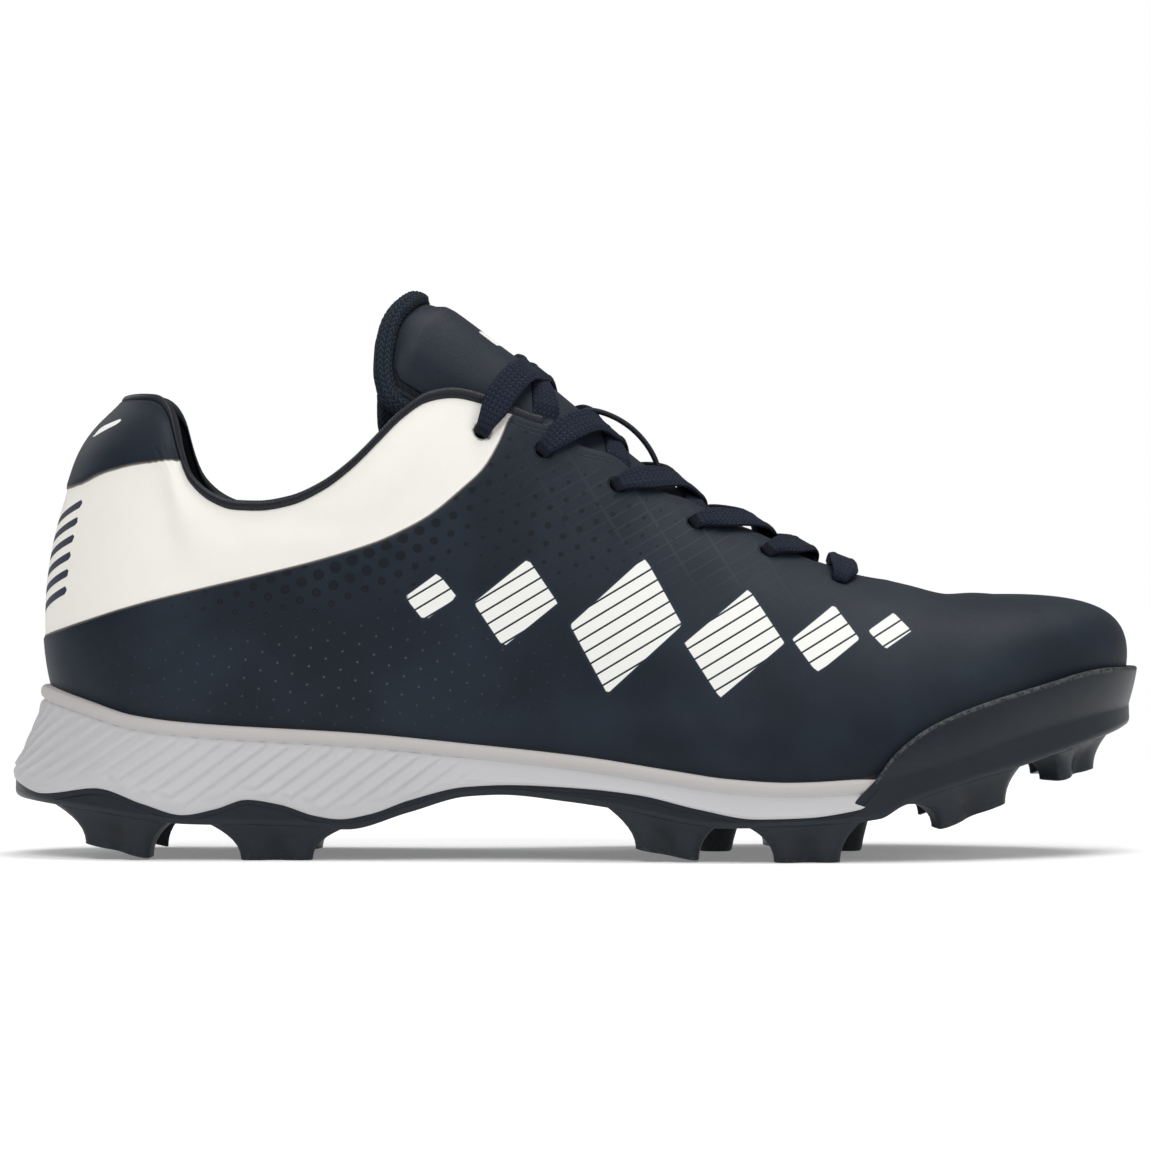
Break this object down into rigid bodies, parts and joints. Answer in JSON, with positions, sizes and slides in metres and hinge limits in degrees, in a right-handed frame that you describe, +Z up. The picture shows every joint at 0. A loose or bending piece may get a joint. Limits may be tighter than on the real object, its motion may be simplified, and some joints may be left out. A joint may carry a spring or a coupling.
{
  "type": "baseball cleat",
  "caption": "Low-cut laced baseball cleat for the right foot, with a hollow upper, padded tongue, ribbed foam midsole and moulded studded outsole.",
  "frame": {"origin": "under the middle of the shoe's bounding box, on the plane that the studs stand on", "axes": "+X towards the toe, +Y towards the inner side of the foot, +Z up"},
  "size_m": [0.2886, 0.1018, 0.144],
  "materials": {
    "outsole": "satin",
    "midsole": "matte",
    "insole": "matte",
    "upper": "matte",
    "tongue": "matte",
    "knit": "matte",
    "binding": "satin",
    "lace": "matte"
  },
  "bodies": {
    "root": {"outsole": "outsole", "midsole": "midsole", "insole": "insole", "upper": "upper", "tongue": "tongue", "tongue_edge": "knit", "collar_binding": "binding", "lace_bar": "lace", "lace_cross_1": "lace", "lace_cross_2": "lace", "lace_cross_3": "lace", "lace_cross_4": "lace", "lace_cross_5": "lace", "lace_keeper": "binding"}
  },
  "joints": []
}
